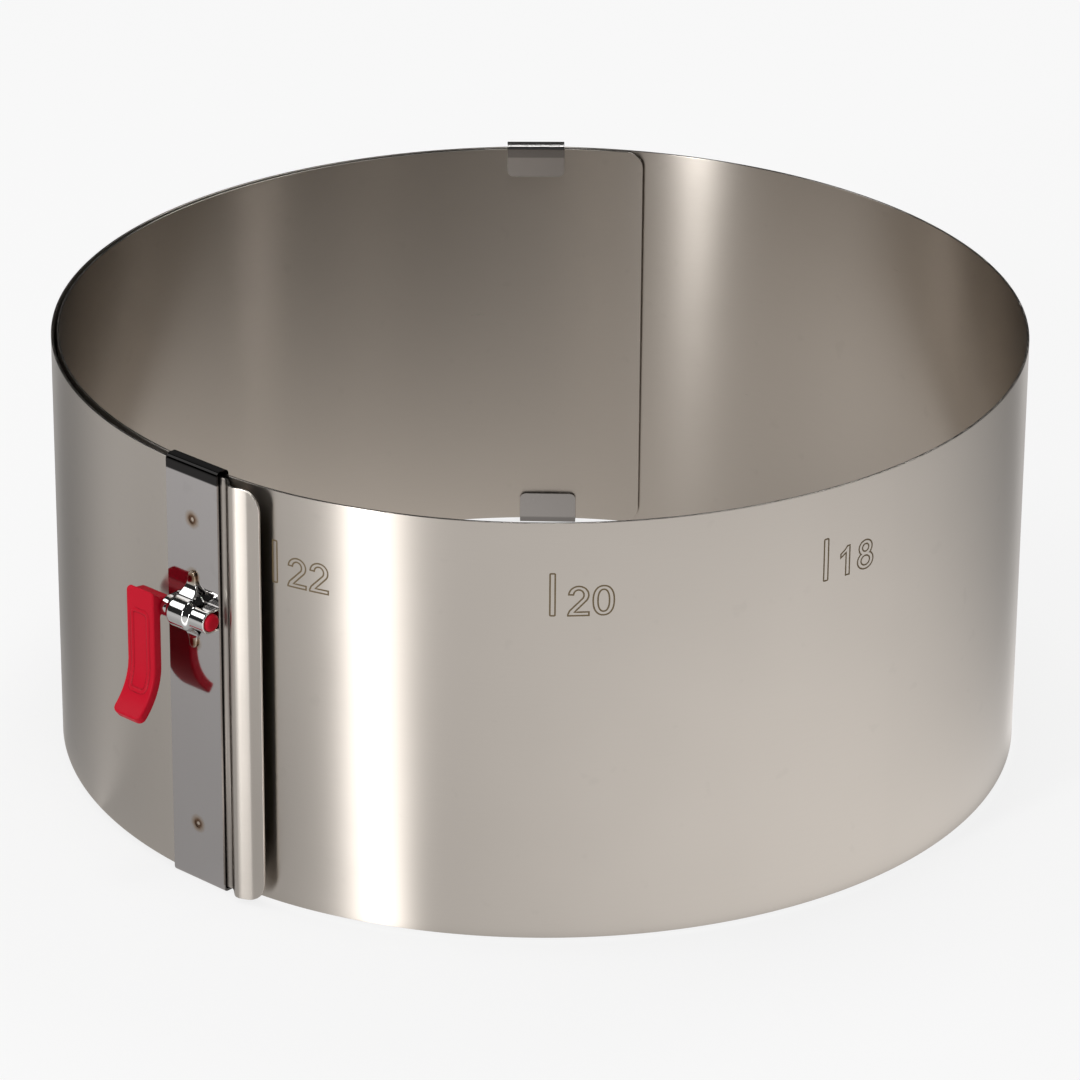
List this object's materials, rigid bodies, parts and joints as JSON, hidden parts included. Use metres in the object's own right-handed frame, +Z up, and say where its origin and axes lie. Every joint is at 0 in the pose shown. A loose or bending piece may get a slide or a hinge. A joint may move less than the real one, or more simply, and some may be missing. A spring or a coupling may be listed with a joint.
{
  "type": "adjustable cake ring",
  "caption": "Tall steel cake ring that laps over itself, with a cam lever clamp on its outer end and guide clips on its inner end, so that its width can be set.",
  "frame": {"origin": "on the ring's axis, at the level that the ring stands on, which is the underside of the lower hooks", "axes": "+Z up along the ring's axis; -Y is the front, and the clamp is at the front left, 228 degrees round from +X"},
  "size_m": [0.2239, 0.2245, 0.1024],
  "materials": {
    "strip_steel": "fine satin rolled stainless steel strip",
    "clamp_steel": "bright rolled stainless steel sheet",
    "saddle_chrome": "polished",
    "lever_plastic": "moulded red plastic, satin gloss"
  },
  "bodies": {
    "clamp_body": {"band_01": "strip_steel", "clamp_plate": "clamp_steel", "clamp_saddle": "saddle_chrome"},
    "lever": {"clamp_lever": "lever_plastic"},
    "strip_02": {"band_02": "strip_steel"},
    "strip_03": {"band_03": "strip_steel"},
    "strip_04": {"band_04": "strip_steel"},
    "strip_05": {"band_05": "strip_steel"},
    "strip_06": {"band_06": "strip_steel"},
    "strip_07": {"band_07": "strip_steel"},
    "strip_08": {"band_08": "strip_steel"},
    "strip_09": {"band_09": "strip_steel"},
    "strip_10": {"band_10": "strip_steel"},
    "strip_11": {"band_11": "strip_steel"},
    "strip_12": {"band_12": "strip_steel"},
    "strip_13": {"band_13": "strip_steel"},
    "strip_14": {"band_14": "strip_steel"},
    "strip_15": {"band_15": "strip_steel"},
    "strip_16": {"band_16": "strip_steel"},
    "strip_17": {"band_17": "strip_steel"},
    "strip_18": {"band_18": "strip_steel"},
    "strip_19": {"band_19": "strip_steel"},
    "strip_20": {"band_20": "strip_steel"},
    "strip_21": {"band_21": "strip_steel"},
    "strip_22": {"band_22": "strip_steel"},
    "strip_23": {"band_23": "strip_steel"},
    "strip_24": {"band_24": "strip_steel"},
    "strip_25": {"band_25": "strip_steel"},
    "strip_26": {"band_26": "strip_steel"},
    "strip_27": {"band_27": "strip_steel"},
    "strip_28": {"band_28": "strip_steel"},
    "strip_29": {"band_29": "strip_steel"},
    "strip_30": {"band_30": "strip_steel"},
    "strip_31": {"band_31": "strip_steel"},
    "strip_32": {"band_32": "strip_steel"},
    "strip_33": {"band_33": "strip_steel"},
    "strip_34": {"band_34": "strip_steel"},
    "strip_35": {"band_35": "strip_steel"},
    "strip_36": {"band_36": "strip_steel"},
    "inner_end": {"band_37": "strip_steel", "guide_clip_upper": "clamp_steel", "guide_clip_lower": "clamp_steel"}
  },
  "joints": [
    {"name": "lever_turn", "type": "hinge", "parent": "clamp_body", "child": "lever", "pos_m": [-0.07738, -0.08572, 0.0675], "axis": [-0.7422, 0.6701, 0], "range_deg": [0, 70]},
    {"name": "strip_turn_01", "type": "hinge", "parent": "strip_02", "child": "clamp_body", "pos_m": [-0.08578, -0.07225, 0], "axis": [0, 0, -1], "range_deg": [-3.48, 4.18]},
    {"name": "strip_turn_02", "type": "hinge", "parent": "strip_03", "child": "strip_02", "pos_m": [-0.10047, -0.04981, 0], "axis": [0, 0, -1], "range_deg": [-2.98, 3.58]},
    {"name": "strip_turn_03", "type": "hinge", "parent": "strip_04", "child": "strip_03", "pos_m": [-0.10942, -0.02453, 0], "axis": [0, 0, -1], "range_deg": [-2.98, 3.58]},
    {"name": "strip_turn_04", "type": "hinge", "parent": "strip_05", "child": "strip_04", "pos_m": [-0.11209, 0.00216, 0], "axis": [0, 0, -1], "range_deg": [-2.98, 3.58]},
    {"name": "strip_turn_05", "type": "hinge", "parent": "strip_06", "child": "strip_05", "pos_m": [-0.10835, 0.02872, 0], "axis": [0, 0, -1], "range_deg": [-2.99, 3.59]},
    {"name": "strip_turn_06", "type": "hinge", "parent": "strip_07", "child": "strip_06", "pos_m": [-0.09839, 0.05362, 0], "axis": [0, 0, -1], "range_deg": [-2.99, 3.59]},
    {"name": "strip_turn_07", "type": "hinge", "parent": "strip_08", "child": "strip_07", "pos_m": [-0.08279, 0.07544, 0], "axis": [0, 0, -1], "range_deg": [-2.99, 3.6]},
    {"name": "strip_turn_08", "type": "hinge", "parent": "strip_09", "child": "strip_08", "pos_m": [-0.06244, 0.09291, 0], "axis": [0, 0, -1], "range_deg": [-3, 3.6]},
    {"name": "strip_turn_09", "type": "hinge", "parent": "strip_10", "child": "strip_09", "pos_m": [-0.03852, 0.10503, 0], "axis": [0, 0, -1], "range_deg": [-3, 3.6]},
    {"name": "strip_turn_10", "type": "hinge", "parent": "strip_11", "child": "strip_10", "pos_m": [-0.01239, 0.1111, 0], "axis": [0, 0, -1], "range_deg": [-3, 3.61]},
    {"name": "strip_turn_11", "type": "hinge", "parent": "strip_12", "child": "strip_11", "pos_m": [0.01443, 0.11077, 0], "axis": [0, 0, -1], "range_deg": [-3.01, 3.61]},
    {"name": "strip_turn_12", "type": "hinge", "parent": "strip_13", "child": "strip_12", "pos_m": [0.04039, 0.10405, 0], "axis": [0, 0, -1], "range_deg": [-3.01, 3.61]},
    {"name": "strip_turn_13", "type": "hinge", "parent": "strip_14", "child": "strip_13", "pos_m": [0.06401, 0.09133, 0], "axis": [0, 0, -1], "range_deg": [-3.01, 3.62]},
    {"name": "strip_turn_14", "type": "hinge", "parent": "strip_15", "child": "strip_14", "pos_m": [0.0839, 0.07334, 0], "axis": [0, 0, -1], "range_deg": [-3.02, 3.62]},
    {"name": "strip_turn_15", "type": "hinge", "parent": "strip_16", "child": "strip_15", "pos_m": [0.09892, 0.05112, 0], "axis": [0, 0, -1], "range_deg": [-3.02, 3.63]},
    {"name": "strip_turn_16", "type": "hinge", "parent": "strip_17", "child": "strip_16", "pos_m": [0.10819, 0.02596, 0], "axis": [0, 0, -1], "range_deg": [-3.02, 3.63]},
    {"name": "strip_turn_17", "type": "hinge", "parent": "strip_18", "child": "strip_17", "pos_m": [0.11119, -0.00069, 0], "axis": [0, 0, -1], "range_deg": [-3.02, 3.63]},
    {"name": "strip_turn_18", "type": "hinge", "parent": "strip_19", "child": "strip_18", "pos_m": [0.10772, -0.02729, 0], "axis": [0, 0, -1], "range_deg": [-3.03, 3.64]},
    {"name": "size_turn", "type": "hinge", "parent": "strip_19", "child": "strip_20", "pos_m": [0.098, -0.05228, 0], "axis": [0, 0, 1], "range_deg": [-3.03, 3.64]},
    {"name": "strip_turn_20", "type": "hinge", "parent": "strip_20", "child": "strip_21", "pos_m": [0.08257, -0.07422, 0], "axis": [0, 0, 1], "range_deg": [-3.03, 3.64]},
    {"name": "strip_turn_21", "type": "hinge", "parent": "strip_21", "child": "strip_22", "pos_m": [0.06234, -0.09183, 0], "axis": [0, 0, 1], "range_deg": [-3.04, 3.65]},
    {"name": "strip_turn_22", "type": "hinge", "parent": "strip_22", "child": "strip_23", "pos_m": [0.03848, -0.10409, 0], "axis": [0, 0, 1], "range_deg": [-3.04, 3.65]},
    {"name": "strip_turn_23", "type": "hinge", "parent": "strip_23", "child": "strip_24", "pos_m": [0.01239, -0.11027, 0], "axis": [0, 0, 1], "range_deg": [-3.04, 3.65]},
    {"name": "strip_turn_24", "type": "hinge", "parent": "strip_24", "child": "strip_25", "pos_m": [-0.01443, -0.11001, 0], "axis": [0, 0, 1], "range_deg": [-3.05, 3.66]},
    {"name": "strip_turn_25", "type": "hinge", "parent": "strip_25", "child": "strip_26", "pos_m": [-0.04041, -0.10333, 0], "axis": [0, 0, 1], "range_deg": [-3.05, 3.66]},
    {"name": "strip_turn_26", "type": "hinge", "parent": "strip_26", "child": "strip_27", "pos_m": [-0.06402, -0.09062, 0], "axis": [0, 0, 1], "range_deg": [-3.05, 3.67]},
    {"name": "strip_turn_27", "type": "hinge", "parent": "strip_27", "child": "strip_28", "pos_m": [-0.08389, -0.07261, 0], "axis": [0, 0, 1], "range_deg": [-3.06, 3.67]},
    {"name": "strip_turn_28", "type": "hinge", "parent": "strip_28", "child": "strip_29", "pos_m": [-0.09886, -0.05035, 0], "axis": [0, 0, 1], "range_deg": [-3.06, 3.67]},
    {"name": "strip_turn_29", "type": "hinge", "parent": "strip_29", "child": "strip_30", "pos_m": [-0.10805, -0.02515, 0], "axis": [0, 0, 1], "range_deg": [-3.06, 3.68]},
    {"name": "strip_turn_30", "type": "hinge", "parent": "strip_30", "child": "strip_31", "pos_m": [-0.11091, 0.00152, 0], "axis": [0, 0, 1], "range_deg": [-3.06, 3.68]},
    {"name": "strip_turn_31", "type": "hinge", "parent": "strip_31", "child": "strip_32", "pos_m": [-0.10727, 0.02809, 0], "axis": [0, 0, 1], "range_deg": [-3.07, 3.69]},
    {"name": "strip_turn_32", "type": "hinge", "parent": "strip_32", "child": "strip_33", "pos_m": [-0.09735, 0.053, 0], "axis": [0, 0, 1], "range_deg": [-3.07, 3.69]},
    {"name": "strip_turn_33", "type": "hinge", "parent": "strip_33", "child": "strip_34", "pos_m": [-0.08174, 0.07481, 0], "axis": [0, 0, 1], "range_deg": [-3.07, 3.69]},
    {"name": "strip_turn_34", "type": "hinge", "parent": "strip_34", "child": "strip_35", "pos_m": [-0.06133, 0.09221, 0], "axis": [0, 0, 1], "range_deg": [-3.08, 3.7]},
    {"name": "strip_turn_35", "type": "hinge", "parent": "strip_35", "child": "strip_36", "pos_m": [-0.03733, 0.10418, 0], "axis": [0, 0, 1], "range_deg": [-3.08, 3.7]},
    {"name": "strip_turn_36", "type": "hinge", "parent": "strip_36", "child": "inner_end", "pos_m": [-0.01115, 0.11002, 0], "axis": [0, 0, 1], "range_deg": [-3.61, 4.33]}
  ],
  "couplings": [
    {"joint": "strip_turn_01", "follows": "size_turn", "ratio": 1.1479},
    {"joint": "strip_turn_02", "follows": "size_turn", "ratio": 0.9825},
    {"joint": "strip_turn_03", "follows": "size_turn", "ratio": 0.9836},
    {"joint": "strip_turn_04", "follows": "size_turn", "ratio": 0.9846},
    {"joint": "strip_turn_05", "follows": "size_turn", "ratio": 0.9856},
    {"joint": "strip_turn_06", "follows": "size_turn", "ratio": 0.9866},
    {"joint": "strip_turn_07", "follows": "size_turn", "ratio": 0.9877},
    {"joint": "strip_turn_08", "follows": "size_turn", "ratio": 0.9887},
    {"joint": "strip_turn_09", "follows": "size_turn", "ratio": 0.9897},
    {"joint": "strip_turn_10", "follows": "size_turn", "ratio": 0.9908},
    {"joint": "strip_turn_11", "follows": "size_turn", "ratio": 0.9918},
    {"joint": "strip_turn_12", "follows": "size_turn", "ratio": 0.9928},
    {"joint": "strip_turn_13", "follows": "size_turn", "ratio": 0.9938},
    {"joint": "strip_turn_14", "follows": "size_turn", "ratio": 0.9949},
    {"joint": "strip_turn_15", "follows": "size_turn", "ratio": 0.9959},
    {"joint": "strip_turn_16", "follows": "size_turn", "ratio": 0.9969},
    {"joint": "strip_turn_17", "follows": "size_turn", "ratio": 0.9979},
    {"joint": "strip_turn_18", "follows": "size_turn", "ratio": 0.999},
    {"joint": "strip_turn_20", "follows": "size_turn", "ratio": 1.001},
    {"joint": "strip_turn_21", "follows": "size_turn", "ratio": 1.0021},
    {"joint": "strip_turn_22", "follows": "size_turn", "ratio": 1.0031},
    {"joint": "strip_turn_23", "follows": "size_turn", "ratio": 1.0041},
    {"joint": "strip_turn_24", "follows": "size_turn", "ratio": 1.0051},
    {"joint": "strip_turn_25", "follows": "size_turn", "ratio": 1.0062},
    {"joint": "strip_turn_26", "follows": "size_turn", "ratio": 1.0072},
    {"joint": "strip_turn_27", "follows": "size_turn", "ratio": 1.0082},
    {"joint": "strip_turn_28", "follows": "size_turn", "ratio": 1.0092},
    {"joint": "strip_turn_29", "follows": "size_turn", "ratio": 1.0103},
    {"joint": "strip_turn_30", "follows": "size_turn", "ratio": 1.0113},
    {"joint": "strip_turn_31", "follows": "size_turn", "ratio": 1.0123},
    {"joint": "strip_turn_32", "follows": "size_turn", "ratio": 1.0134},
    {"joint": "strip_turn_33", "follows": "size_turn", "ratio": 1.0144},
    {"joint": "strip_turn_34", "follows": "size_turn", "ratio": 1.0154},
    {"joint": "strip_turn_35", "follows": "size_turn", "ratio": 1.0164},
    {"joint": "strip_turn_36", "follows": "size_turn", "ratio": 1.1899}
  ]
}
